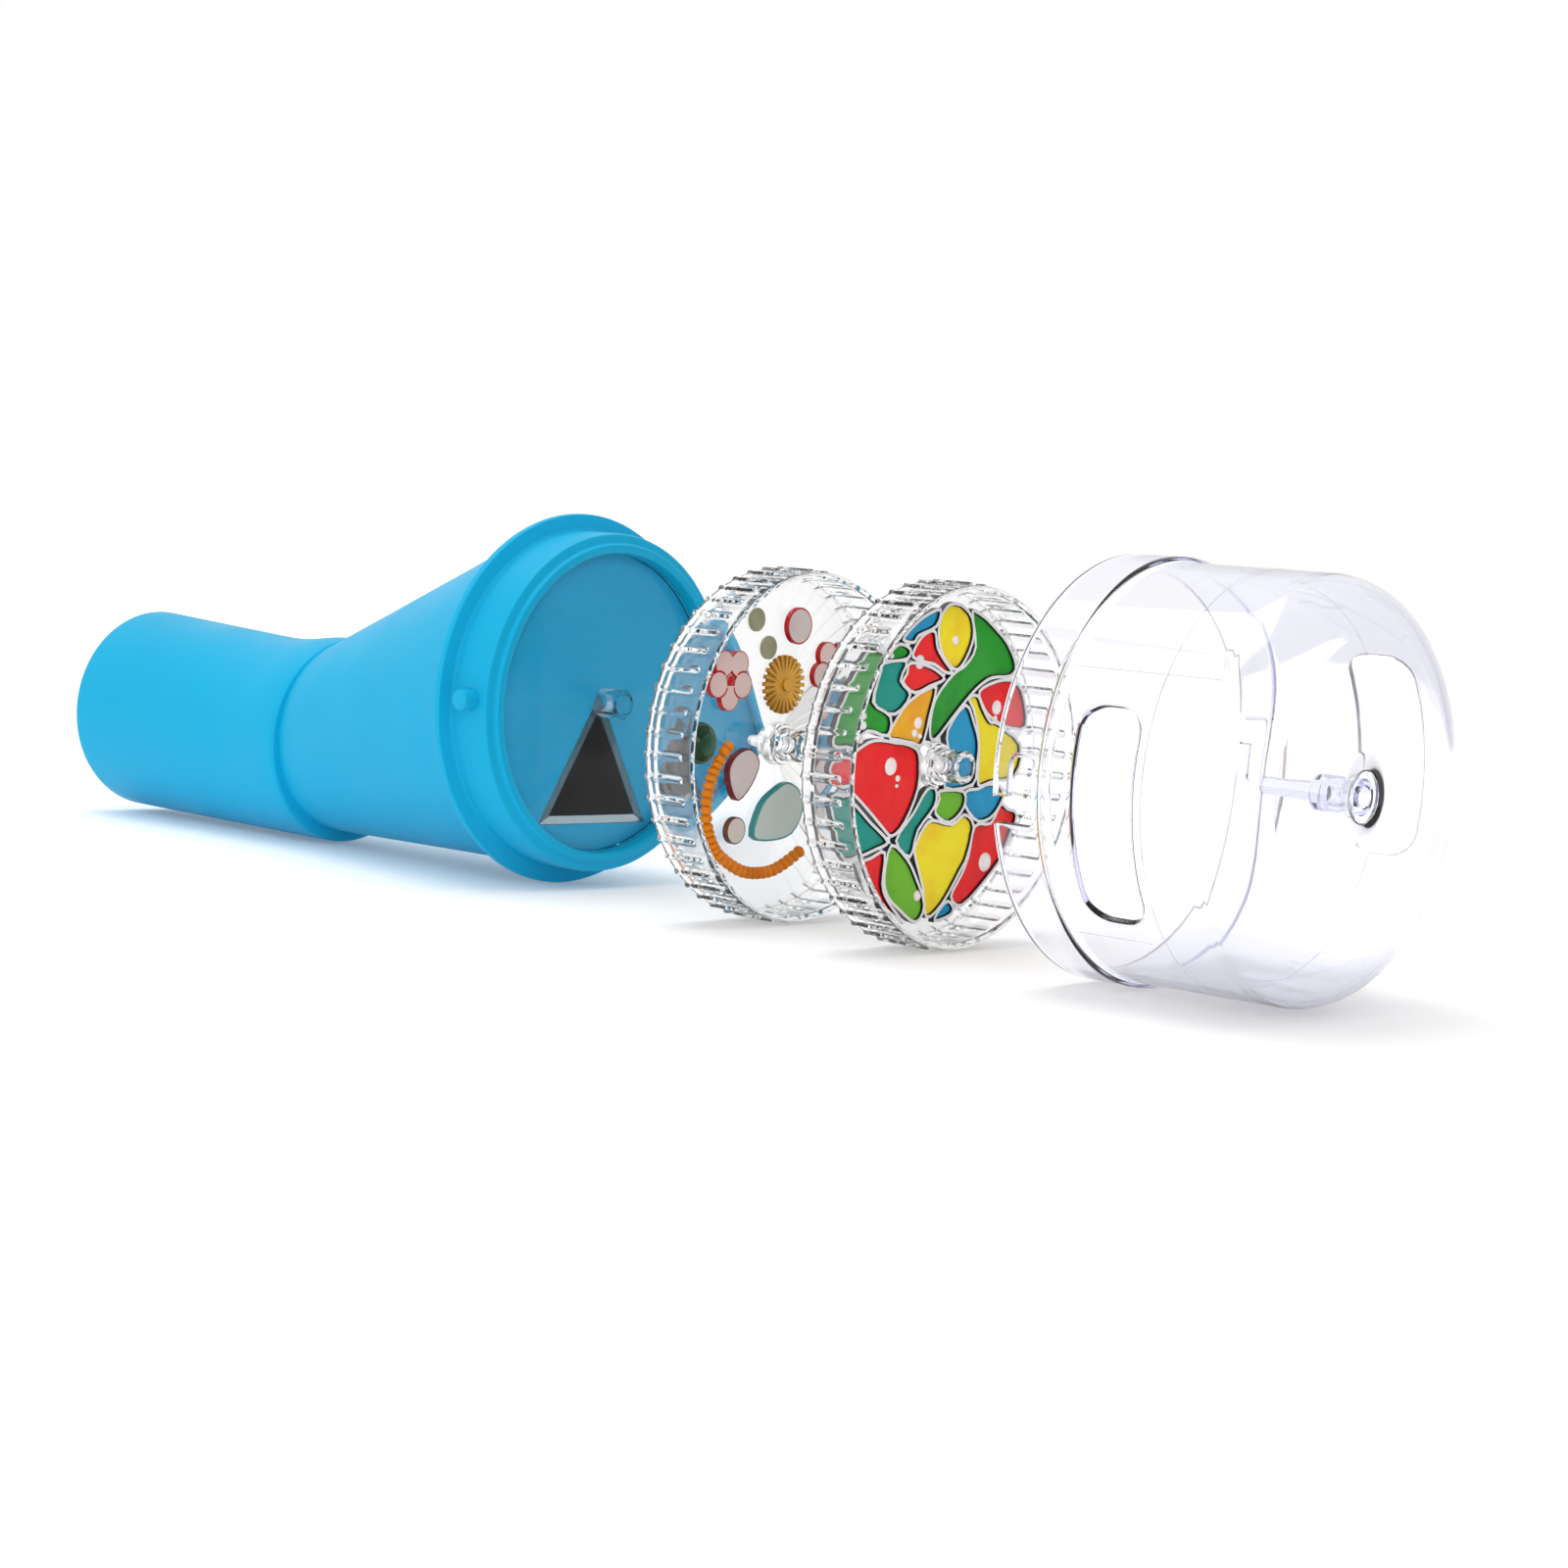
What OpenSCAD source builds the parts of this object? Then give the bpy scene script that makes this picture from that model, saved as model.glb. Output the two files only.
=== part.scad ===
// Toy kaleidoscope with two turning picture wheels and a clear bayonet cap.
// The four groups lie apart in a row, in the order in which they go together.
// +X runs from the eye end to the cap end, +Z is up and the floor is z = 0.
// Lengths along the row are counted from the front face of the body's flange.

/* [Body] */
// Outer diameter of the flange and of the cap's skirt
flange_d = 86; // [86:1:88]
// Distance from the flange's front face back to the eye end
body_len = 156; // [150:1:170]
// Outer diameter of the tube at the eye end
eye_d = 51.2; // [50:0.2:53]
// Outer diameter of the tube at its narrowest place
waist_d = 48.8; // [48.8:0.2:50]
// Outer diameter of the raised band
band_d = 50.8; // [50.6:0.2:52]
// Outer diameter of the collar in front of the flange
collar_d = 78.2; // [77:0.2:79]
// Length of the collar, up to the front lip
collar_len = 11.2; // [10.5:0.1:12]
// Side of the triangular opening
triangle_side = 34.9; // [33:0.1:35]
// Diameter of the two bayonet studs
stud_d = 4.8; // [4:0.1:4.8]

/* [Picture wheels] */
// Diameter over the ribs of a wheel
wheel_d = 77.6; // [76:0.1:77.6]
// Width of a wheel
wheel_w = 13; // [12.5:0.1:13]
// Number of grip ribs around a wheel
rib_count = 50; // [40:1:56]
// Distance from the flange to the trinket wheel, as laid out
wheel_a_x = 59.8; // [50:0.1:70]
// Distance from the flange to the painted wheel, as laid out
wheel_b_x = 103.6; // [100:0.1:110]
// Diameter of the bores that take the spigots
socket_d = 4.4; // [4.4:0.1:4.6]

/* [Cap] */
// Distance from the flange to the cap's open rim, as laid out
cap_x = 155.8; // [150:0.1:170]
// Length of the cap
cap_len = 55.7; // [55.2:0.1:57]
// Outer diameter of the cap beyond its skirt
cap_d = 84; // [84:0.1:85]
// Radius of the rounding at the closed end
cap_round = 11; // [9:0.5:13]

/* [Hidden] */
$fn = 96;

body_blue = [0.11, 0.67, 0.86];
clear = [0.88, 0.90, 0.95, 0.35];

// Heights of the axes: the body and the cap stand on the flange, the wheels on their ribs
body_axis_z = flange_d / 2;
wheel_axis_z = wheel_d / 2;
// The origin is in the middle of the row
middle_x = (cap_x + cap_len - body_len) / 2;

// Housing
wall = 2;
flange_len = 2;
flange_r = flange_d / 2;
collar_r = collar_d / 2;
lip_r = 36.9;
lip_len = 1.3;
front_x = collar_len + lip_len;
seat_r = 34.5;
seat_x = 5.5;
ledge_r = 33.7;
ledge_x = 3.4;
// Rings along the tube and the off-centre flare, each as distance, axis height, radius
tube_rings = [[-body_len, 26.9, eye_d / 2], [-102, 25, waist_d / 2], [-94, 25.1, waist_d / 2 + 0.15],
    [-88, 25.5, band_d / 2 - 0.4], [-84, 25.8, band_d / 2], [-77, 25.8, band_d / 2]];
flare_rings = [[-77.5, 27, 23.8], [-flange_len, 43.6, 40]];
bore_rings = [[-body_len - 1, 26.9, eye_d / 2 - wall], [-102, 25, waist_d / 2 - wall],
    [-84, 26.7, 21.9], [-77, 26.9, 22], [-flange_len, 43.6, 40 - wall]];
slice = 0.5;
stud_x = 6.2;
stud_tip_r = 42.9;

// Mirror tunnel, bulkhead and window
tunnel_z = 24.87;
tunnel_back_x = -148;
mirror_t = 2;
mirror_front_x = 7.4;
sleeve_t = 0.5;
sleeve_corner_r = 20.65;
sleeve_front_x = 3.2;
plate_r = 34.4;
bulkhead_t = 1.95;
window_t = 1.75;
window_x = seat_x + 2.05;
window_boss_r = 3.4;
window_boss_tip = 15.6;
window_bore_end = 8.3;
socket_r = socket_d / 2;
fit_gap = 0.05;

// Eyepiece
plug_r = 23.2;
plug_z = 26.75;
plug_front_x = tunnel_back_x - 0.2;
peep_r = 8;
peep_rim_r = 13;
eye_window_r = 10;
eye_window_t = 1;

// Wheels and hubs, as distances from the wheel's back rim
wheel_r = wheel_d / 2;
dish_r = wheel_r - 0.6;
dish_bore_r = wheel_r - 1.9;
rib_len = 10.5;
rib_w = 1.2;
web_back = 1.6;
web_front = 2.4;
eye_ring_r = 4.7;
eye_ring_front = 4.33;
neck_r = 3;
neck_gap = 0.06;
spigot_tip_x = -8;
spigot_tip_r = 1.5;
spigot_base_r = 2.05;
hub_boss_x = -1.2;
hub_boss_r = 3.6;
hub_flange_r = 4.5;
hub_flange_x = 4.4;
hub_tube_x = 5.5;
hub_tube_r = 3.5;
hub_end_x = 12.2;
socket_end_x = 3;

// Trinkets, in millimetres across and up from the wheel's axis
deco_x = web_front + 0.02;
flower_spots = [[-17, 14], [17, 16.5]];
petal_r = 2.9;
petal_ring_r = 4.1;
daisy_spot = [1, 13];
daisy_r = 6.5;
green_spot = [-24, 0];
olive_spots = [[-9, 27], [-4.5, 21]];
red_spot = [4.5, 26];
round_spot = [-12, -19];
petal_outline = [[-9.5, -1], [-6, -4], [-8, -9], [-12, -12.5], [-14.5, -10.5], [-16, -6], [-14, -2.5]];
teardrop_outline = [[4, -8.5], [8, -10.5], [9.5, -15], [6.5, -20], [0, -21.5], [-6.5, -20.5],
    [-4.5, -13.5], [0, -10]];
bead_route = [[-16.5, -0.5], [-19, -3.5], [-21.3, -7.5], [-22.3, -12.5], [-21.5, -18], [-18.5, -23],
    [-14, -26], [-9, -28], [-4, -28.5], [1, -28], [6, -26], [10.5, -23.5]];
bead_r = 1.4;
bead_len = 1;
bead_pitch = 1.45;

// Painted panes, each an outline of corners that a smooth curve passes through
line_w = 0.7;
pane_t = 1;
line_t = 1.5;
paint_r = 34.4;
panes = [
    // 0 to 5: red
    [[-10, 22.5], [-9, 25], [-7, 27], [-4.5, 28], [-3, 27.5], [-2, 24.5], [0.5, 22], [3.5, 19.5],
        [1, 19.5], [-2.5, 21], [-6, 21.5]],
    [[-11, 21], [-7, 21], [-2.5, 20], [1, 18], [-3.5, 16.5], [-8.5, 15], [-12.5, 17], [-11.5, 19]],
    [[-33.5, 0.5], [-28, 2], [-22.5, 4.5], [-18.5, 5], [-13.5, 4.5], [-9, 4], [-5.5, 2], [-5, -5],
        [-8.5, -12], [-12.5, -15], [-16, -13], [-21.5, -9], [-27, -5.5], [-33.2, -3]],
    [[13.5, 15.5], [18.5, 17.5], [24, 18], [29, 16], [31.5, 8], [24, 8], [18, 10], [15, 12.5]],
    [[-23, -21], [-19, -19.5], [-14.5, -18.5], [-14.5, -25], [-12.5, -28.5], [-7.5, -33],
        [-16, -28.5], [-20, -25.5]],
    [[15.5, -13.5], [21, -13], [24, -9], [26.5, -10], [30, -11.5], [27, -19], [21, -25], [13, -30.5],
        [9, -28.5], [12, -24], [14, -20]],
    // 6 to 8: yellow
    [[3.5, 34], [0, 33], [-2, 29.5], [-1.5, 25.5], [1, 22], [5, 20], [8, 22.5], [10, 27], [9, 31],
        [6.5, 33]],
    [[10, 14], [13, 14.5], [15, 12], [18, 9], [21, 8.5], [30, 4], [28, -3], [20, -4], [15.5, -4.5],
        [15, 2], [14, 7], [12, 11.5]],
    [[0.5, -12], [7.5, -13], [11.5, -11], [15, -13.5], [13.5, -20], [11.5, -23], [6, -30],
        [1, -32.5], [-1, -26], [-4.5, -19], [-4, -16.5], [-2.5, -14]],
    // 9: orange
    [[-1.5, 16], [-5, 15.5], [-8.5, 14], [-12, 11.5], [-16, 6], [-12, 5], [-8, 4.5], [-5, 4],
        [-3.5, 7.5], [-3, 10]],
    // 10 to 12: dark green
    [[9, 32.5], [11, 25], [8, 21], [4, 19], [-1.5, 13.5], [-2.5, 7], [-0.5, 5.2], [5, 10], [9, 13.5],
        [13, 16.5], [17.5, 18.5], [24, 19], [25.5, 21.5], [22, 26], [17.5, 29], [13, 31.5]],
    [[-14.5, 25], [-11, 24], [-12, 22], [-18.5, 21.5], [-17, 23.5]],
    [[-20, 19.5], [-22, 13], [-16, 10], [-16.5, 6], [-23, 7], [-28, 4], [-33.5, 4], [-33, 8],
        [-31, 13.5], [-28, 19], [-24, 24], [-21, 23]],
    // 13 and 14: light green
    [[2.5, -5.8], [10.5, -6], [11, -9.5], [6.5, -12.5], [1.5, -10.5], [2.5, -7.5]],
    [[-12.5, -17], [-7, -20], [-3.5, -24], [0, -30], [-2.5, -33.5], [-8.5, -30.5], [-12.5, -27.5],
        [-14, -23.5]],
    // 15 to 17: teal
    [[-19, 21], [-12, 21.5], [-13.5, 17.5], [-10, 14.5], [-14.5, 10.5], [-21.5, 12.5], [-20, 19.5]],
    [[-33, -6.5], [-27.5, -7], [-20, -12], [-14, -16], [-17, -17.5], [-27.5, -19.5], [-31, -13]],
    [[-2, -5.5], [1, -5.5], [1, -9], [-4, -14], [-6, -19.5], [-11, -16], [-6, -10.5]],
    // 18 to 21: blue
    [[-2, 32.5], [-3, 29], [-8.5, 27], [-10, 25.5], [-13.5, 26], [-11, 28.5], [-7, 31]],
    [[11.5, -6], [15.5, -5.5], [19.5, -4.5], [25, -6], [22, -11], [16.5, -12.5], [11.5, -9]],
    [[9, 12.5], [3.5, 7], [4.5, 2], [4, -5], [13.5, -4.5], [14.5, 0], [14.5, 4.5], [12.5, 8.5]],
    [[8, -29.5], [10, -31], [9, -32.5], [4, -33.5], [5.5, -31]]
];
red_group = [0, 1, 2, 3, 4, 5];
yellow_group = [6, 7, 8];
orange_group = [9];
green_group = [10, 11, 12];
light_green_group = [13, 14];
teal_group = [15, 16, 17];
blue_group = [18, 19, 20, 21];

// Cap and axle pin, as distances from the cap's open rim
cap_axis_gap = 0.06;
skirt_len = 11;
skirt_bore_r = 41.3;
cap_r = cap_d / 2;
cap_bore_r = cap_r - 1.4;
bore_taper_len = 14;
cap_wall = 1.6;
pin_head_r = 5.2;
pin_head_t = 0.8;
pin_r = 3.6;
pin_shoulder = 44.5;
pin_tip = 34.3;
pin_tip_r = 1.65;
slot_front = 3.6;
slot_back = 9;
slot_lock_top = 2.8;
slot_entry_top = -4.9;
slot_low = -10;
// Where the surface of revolution starts, away from every cut
seam_angle = 100;
// Finger windows: near and far edge along the cap, first and last angle around it
window_a = [17.5, 31.3, 160, 219.7];
window_b = [28.6, 43.5, -20, 39.7];

// A closed curve through the points, three steps to a side
function curve_point(a, b, c, d, t) =
    0.5 * (2 * b + (c - a) * t + (2 * a - 5 * b + 4 * c - d) * t * t
        + (3 * b - 3 * c + d - a) * t * t * t);
function smooth(p, steps = 3) =
    let (n = len(p))
    [for (i = [0 : n - 1]) for (k = [0 : steps - 1])
        curve_point(p[(i + n - 1) % n], p[i], p[(i + 1) % n], p[(i + 2) % n], k / steps)];

// The place at parameter s, one unit to a side, on an open curve through the route's points
function route_at(p, s) =
    let (i = min(floor(s), len(p) - 2), n = len(p) - 1)
    curve_point(p[max(i - 1, 0)], p[i], p[i + 1], p[min(i + 2, n)], s - i);
function triangle(side) = [for (a = [90, 210, 330]) side / sqrt(3) * [cos(a), sin(a)]];

// Puts a shape drawn in X and Y, and raised along Z, across the row at distance x and height z
module across(x, z) translate([x - middle_x, 0, z]) rotate([90, 0, 90]) children();
module rod(x, z, r, len) across(x, z) cylinder(h = len, r = r);
module cone(x, z, r1, r2, len) across(x, z) cylinder(h = len, r1 = r1, r2 = r2);
// A smooth tube through rings of different heights and radii
module blend(rings) for (i = [0 : len(rings) - 2]) hull() for (ring = [rings[i], rings[i + 1]])
    across(ring[0], ring[1]) cylinder(h = slice, r = ring[2], $fn = 48);

// ---- body ----

module housing_outside() {
    blend(tube_rings);
    blend(flare_rings);
    rod(-flange_len, body_axis_z, flange_r, flange_len);
    rod(-flange_len, body_axis_z, collar_r, flange_len + collar_len);
    rod(0, body_axis_z, lip_r, front_x);
    for (side = [-1, 1])
        translate([stud_x - middle_x, 0, body_axis_z])
            rotate([-90 * side, 0, 0]) translate([0, 0, collar_r - 1])
                cylinder(h = stud_tip_r - collar_r + 1, r = stud_d / 2);
}

module housing_inside() {
    blend(bore_rings);
    rod(-flange_len, body_axis_z, lip_r, flange_len + ledge_x);
    rod(0, body_axis_z, ledge_r, front_x);
    rod(seat_x, body_axis_z, seat_r, front_x);
}

module housing() color(body_blue) difference() {
    housing_outside();
    housing_inside();
}

module front_bulkhead() color(body_blue) difference() {
    rod(seat_x + fit_gap, body_axis_z, plate_r, bulkhead_t);
    across(seat_x - 1, tunnel_z) linear_extrude(height = 5) polygon(triangle(triangle_side + 0.2));
}

module window_plate() color(clear) difference() {
    union() {
        rod(window_x, body_axis_z, plate_r, window_t);
        rod(window_x, body_axis_z, window_boss_r, window_boss_tip - window_x);
    }
    rod(window_bore_end, body_axis_z, socket_r, window_boss_tip);
}

// One mirror strip, with mitred edges, along the side of the tunnel that turn names
module mirror_strip(turn) color([0.75, 0.78, 0.80])
    across(tunnel_back_x, tunnel_z) rotate([0, 0, turn])
        linear_extrude(height = mirror_front_x - tunnel_back_x)
            let (half = triangle_side / 2 - fit_gap, low = -triangle_side / (2 * sqrt(3)),
                 inner = half - mirror_t * sqrt(3))
            polygon([[-half, low], [half, low], [inner, low + mirror_t], [-inner, low + mirror_t]]);

module mirror_base() mirror_strip(0);
module mirror_right() mirror_strip(120);
module mirror_left() mirror_strip(240);

module mirror_sleeve() color([0.15, 0.16, 0.18]) across(tunnel_back_x, tunnel_z) difference() {
    intersection() {
        linear_extrude(height = sleeve_front_x - tunnel_back_x)
            polygon(triangle(triangle_side + 2 * sqrt(3) * sleeve_t));
        cylinder(h = sleeve_front_x - tunnel_back_x, r = sleeve_corner_r);
    }
    translate([0, 0, -1]) linear_extrude(height = sleeve_front_x - tunnel_back_x + 2)
        polygon(triangle(triangle_side + 0.1));
}

module eyepiece() color(body_blue) difference() {
    rod(-body_len, plug_z, plug_r, plug_front_x + body_len);
    rod(-body_len - 1, tunnel_z, peep_r, body_len);
    cone(-body_len, tunnel_z, peep_rim_r, peep_r, 4);
    rod(plug_front_x - eye_window_t - 2 * fit_gap, tunnel_z, eye_window_r + fit_gap, 2);
}

module eyepiece_window() color(clear)
    rod(plug_front_x - eye_window_t - fit_gap, tunnel_z, eye_window_r, eye_window_t);

// ---- wheels ----

module hub(x) color(clear) difference() {
    union() {
        cone(x + spigot_tip_x, wheel_axis_z, spigot_tip_r, spigot_base_r, hub_boss_x - spigot_tip_x);
        rod(x + hub_boss_x, wheel_axis_z, hub_boss_r, web_back - fit_gap - hub_boss_x);
        rod(x + hub_boss_x, wheel_axis_z, neck_r, hub_tube_x - hub_boss_x);
        rod(x + hub_flange_x, wheel_axis_z, hub_flange_r, hub_tube_x - hub_flange_x);
        rod(x + hub_flange_x, wheel_axis_z, hub_tube_r, hub_end_x - hub_flange_x);
    }
    rod(x + socket_end_x, wheel_axis_z, socket_r, hub_end_x);
}

module dish(x) color(clear) difference() {
    union() {
        rod(x, wheel_axis_z, dish_r, wheel_w);
        for (i = [0 : rib_count - 1])
            across(x, wheel_axis_z) rotate([0, 0, -90 + i * 360 / rib_count])
                translate([dish_bore_r + 0.5, -rib_w / 2, 0])
                    cube([wheel_r - dish_bore_r - 0.5, rib_w, rib_len]);
    }
    rod(x - 1, wheel_axis_z, dish_bore_r, 1 + web_back);
    difference() {
        rod(x + web_front, wheel_axis_z, dish_bore_r, wheel_w);
        rod(x + web_back, wheel_axis_z, eye_ring_r, eye_ring_front - web_back);
    }
    rod(x, wheel_axis_z, neck_r + neck_gap, wheel_w);
}

module hub_a() hub(wheel_a_x);
module wheel_a_dish() dish(wheel_a_x);
module hub_b() hub(wheel_b_x);
module wheel_b_dish() dish(wheel_b_x);

module on_wheel_a(spot) across(wheel_a_x + deco_x, wheel_axis_z) translate([spot[0], spot[1], 0]) children();

module flower_charms() color([0.86, 0.35, 0.30]) for (spot = flower_spots) on_wheel_a(spot) {
    cylinder(h = 1, r = petal_ring_r);
    for (i = [0 : 4]) rotate([0, 0, -90 + 72 * i]) translate([petal_ring_r, 0, 0]) cylinder(h = 1.3, r = petal_r);
}

module daisy_charm() color([0.80, 0.66, 0.35]) on_wheel_a(daisy_spot) {
    cylinder(h = 0.8, r = daisy_r - 1);
    for (i = [0 : 23]) rotate([0, 0, 15 * i]) translate([1, -0.45, 0]) cube([daisy_r - 1, 0.9, 1.2]);
    cylinder(h = 2, r = 1.4);
}

module green_gem() color([0.16, 0.25, 0.18]) on_wheel_a(green_spot) {
    cylinder(h = 0.8, r = 4.3);
    cylinder(h = 2.4, r1 = 4.6, r2 = 2.4);
}

module bead_string() color([0.90, 0.47, 0.08]) for (i = [0 : len(bead_route) - 2])
    let (steps = floor(norm(bead_route[i + 1] - bead_route[i]) / bead_pitch))
    for (k = [0 : steps - 1])
        let (s = i + k / steps, here = route_at(bead_route, s),
             ahead = route_at(bead_route, s + 0.05) - here, turn = atan2(ahead[1], ahead[0]))
        on_wheel_a(here) translate([0, 0, bead_r]) rotate([0, 0, turn]) rotate([0, 90, 0])
            translate([0, 0, -bead_len / 2]) cylinder(h = bead_len, r = bead_r);

module olive_sequins() color([0.55, 0.50, 0.20]) for (spot = olive_spots) on_wheel_a(spot) difference() {
    cylinder(h = 0.6, r = 2.6);
    translate([0, 0, -1]) cylinder(h = 3, r = 0.6);
}

module red_sequin() color([0.75, 0.20, 0.15]) on_wheel_a(red_spot) cylinder(h = 1.2, r = 4.1);
module round_gem() color([0.55, 0.40, 0.32]) on_wheel_a(round_spot) cylinder(h = 1.4, r = 3);

module petal_gem() color([0.85, 0.70, 0.68])
    on_wheel_a([0, 0]) linear_extrude(height = 1.6) polygon(smooth(petal_outline));

module teardrop_gem() color([0.62, 0.72, 0.72])
    on_wheel_a([0, 0]) linear_extrude(height = 1.6) polygon(smooth(teardrop_outline));

// ---- painted picture ----

module pane_outline(i, grow) offset(delta = grow) polygon(smooth(panes[i]));

// A pane stops half a line short of its outline and of every pane listed before it
module pane_shape(i) difference() {
    intersection() {
        pane_outline(i, -line_w / 2);
        circle(r = paint_r - line_w);
    }
    for (j = [0 : i - 1]) if (i > 0) pane_outline(j, line_w / 2);
    circle(r = eye_ring_r + line_w);
}

module pane_group(group) across(wheel_b_x + deco_x, wheel_axis_z)
    linear_extrude(height = pane_t) for (i = group) pane_shape(i);

module contour_lines() color([0.62, 0.64, 0.66])
    across(wheel_b_x + deco_x, wheel_axis_z) linear_extrude(height = line_t) difference() {
        intersection() {
            for (i = [0 : len(panes) - 1]) pane_outline(i, line_w / 2);
            circle(r = paint_r);
        }
        for (i = [0 : len(panes) - 1]) offset(delta = 0.03) pane_shape(i);
        circle(r = eye_ring_r + 0.1);
    }

module red_panes() color([0.91, 0.10, 0.11]) pane_group(red_group);
module yellow_panes() color([0.98, 0.84, 0.08]) pane_group(yellow_group);
module orange_panes() color([0.98, 0.65, 0.10]) pane_group(orange_group);
module green_panes() color([0.10, 0.55, 0.22]) pane_group(green_group);
module light_green_panes() color([0.45, 0.78, 0.22]) pane_group(light_green_group);
module teal_panes() color([0.00, 0.60, 0.55]) pane_group(teal_group);
module blue_panes() color([0.00, 0.60, 0.82]) pane_group(blue_group);

// ---- cap ----

module axle_pin() color(clear) {
    cone(cap_x + pin_tip, body_axis_z, pin_tip_r, spigot_base_r, pin_shoulder - pin_tip);
    rod(cap_x + pin_shoulder, body_axis_z, pin_r, cap_len - pin_shoulder - fit_gap);
    rod(cap_x + cap_len - pin_head_t - fit_gap, body_axis_z, pin_head_r, pin_head_t);
}

function arc(r, from, to) = [for (k = [0 : 8])
    let (a = from + (to - from) * k / 8)
    [cap_r - cap_round + r * cos(a), cap_len - cap_round + r * sin(a)]];

cap_profile = concat(
    [[skirt_bore_r, 0], [flange_r, 0], [flange_r, skirt_len], [cap_r, skirt_len + 0.8]],
    arc(cap_round, 0, 90),
    [[pin_head_r + cap_axis_gap, cap_len], [pin_head_r + cap_axis_gap, cap_len - pin_head_t - 2 * fit_gap],
     [pin_r + cap_axis_gap, cap_len - pin_head_t - 2 * fit_gap], [pin_r + cap_axis_gap, cap_len - cap_wall]],
    arc(cap_round - (cap_r - cap_bore_r), 90, 0),
    [[cap_bore_r, bore_taper_len]]);

// A block of the cap's wall between two distances and two angles, counted from +Y towards +Z
module wall_block(near, far, from, to) translate([0, 0, near]) rotate([0, 0, from])
    rotate_extrude(angle = to - from) translate([cap_bore_r - 3, 0]) square([8, far - near]);

module finger_window(w) wall_block(w[0], w[1], w[2], w[3]);

// The L-shaped slot: in from the rim, then up to the locked end
module bayonet_slot() rotate([0, -90, 0]) translate([0, 0, cap_bore_r - 5]) linear_extrude(height = 12)
    polygon([[-1, slot_low], [slot_back, slot_low], [slot_back, slot_lock_top], [slot_front, slot_lock_top],
        [slot_front, slot_entry_top], [-1, slot_entry_top]]);

module cap() color(clear) across(cap_x, body_axis_z) difference() {
    rotate([0, 0, seam_angle]) rotate_extrude() polygon(cap_profile);
    finger_window(window_a);
    finger_window(window_b);
    bayonet_slot();
    rotate([0, 0, 180]) bayonet_slot();
}

housing();
front_bulkhead();
window_plate();
mirror_base();
mirror_left();
mirror_right();
mirror_sleeve();
eyepiece();
eyepiece_window();
hub_a();
wheel_a_dish();
flower_charms();
daisy_charm();
green_gem();
bead_string();
olive_sequins();
red_sequin();
petal_gem();
teardrop_gem();
round_gem();
hub_b();
wheel_b_dish();
contour_lines();
red_panes();
yellow_panes();
orange_panes();
green_panes();
light_green_panes();
teal_panes();
blue_panes();
axle_pin();
cap();
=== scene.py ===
from math import atan2, cos, degrees, pi, radians, sin, sqrt

import bmesh
import bpy
from mathutils import Matrix, Vector


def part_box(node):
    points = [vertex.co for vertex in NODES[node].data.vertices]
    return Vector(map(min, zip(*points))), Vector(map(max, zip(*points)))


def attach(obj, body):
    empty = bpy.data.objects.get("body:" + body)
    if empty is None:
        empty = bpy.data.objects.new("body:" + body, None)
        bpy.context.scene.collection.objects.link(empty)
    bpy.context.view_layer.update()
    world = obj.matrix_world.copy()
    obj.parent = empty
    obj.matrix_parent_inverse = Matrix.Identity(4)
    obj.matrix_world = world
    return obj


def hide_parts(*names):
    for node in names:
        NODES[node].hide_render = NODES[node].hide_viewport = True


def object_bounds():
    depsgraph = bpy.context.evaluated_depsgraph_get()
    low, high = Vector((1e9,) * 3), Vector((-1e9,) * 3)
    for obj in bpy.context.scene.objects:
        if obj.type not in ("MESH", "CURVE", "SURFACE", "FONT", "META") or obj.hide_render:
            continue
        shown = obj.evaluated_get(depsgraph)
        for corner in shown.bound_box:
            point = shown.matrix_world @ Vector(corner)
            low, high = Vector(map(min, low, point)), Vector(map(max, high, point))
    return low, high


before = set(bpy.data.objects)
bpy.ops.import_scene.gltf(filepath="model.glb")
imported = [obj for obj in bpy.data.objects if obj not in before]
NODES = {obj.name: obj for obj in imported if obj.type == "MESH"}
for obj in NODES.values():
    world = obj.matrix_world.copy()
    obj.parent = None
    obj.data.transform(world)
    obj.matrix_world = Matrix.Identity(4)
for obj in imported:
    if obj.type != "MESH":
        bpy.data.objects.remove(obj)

# Lengths are written in millimetres and turned into metres where meshes are made.
MM = 0.001
CAD_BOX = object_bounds()


def corner(node, high, axis):
    """One coordinate of a node's box, in millimetres."""
    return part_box(node)[high][axis] / MM


# Places along the row: the flange's front face, the wheels' back rims, the cap's open rim.
LIP_LEN = 12.5
FLANGE_X = corner("housing", 1, 0) - LIP_LEN
WHEEL_A_X = corner("wheel_a_dish", 0, 0)
WHEEL_B_X = corner("wheel_b_dish", 0, 0)
CAP_X = corner("cap", 0, 0)
CAP_LEN = corner("cap", 1, 0) - CAP_X
# Heights of the axes
BODY_Z = corner("cap", 1, 1)
WHEEL_R = (corner("wheel_a_dish", 1, 2) - corner("wheel_a_dish", 0, 2)) / 2
WHEEL_Z = corner("wheel_a_dish", 0, 2) + WHEEL_R
# Corners of a round piece, of a hub, of a small piece and of a tiny one
ROUND = 128
HUB_ROUND = 64
SMALL_ROUND = 48
TINY_ROUND = 24
# Points closer than this are one point
WELD = 0.002
NEAR_AXIS = 0.001


# ---------------------------------------------------------------- mesh helpers

def add_bevel(piece, width, segments, angle):
    """Rounds the edges that turn by more than an angle in degrees."""
    mod = piece.modifiers.new("edge", "BEVEL")
    mod.width = width * MM
    mod.segments = segments
    mod.limit_method = "ANGLE"
    mod.angle_limit = radians(angle)


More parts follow.
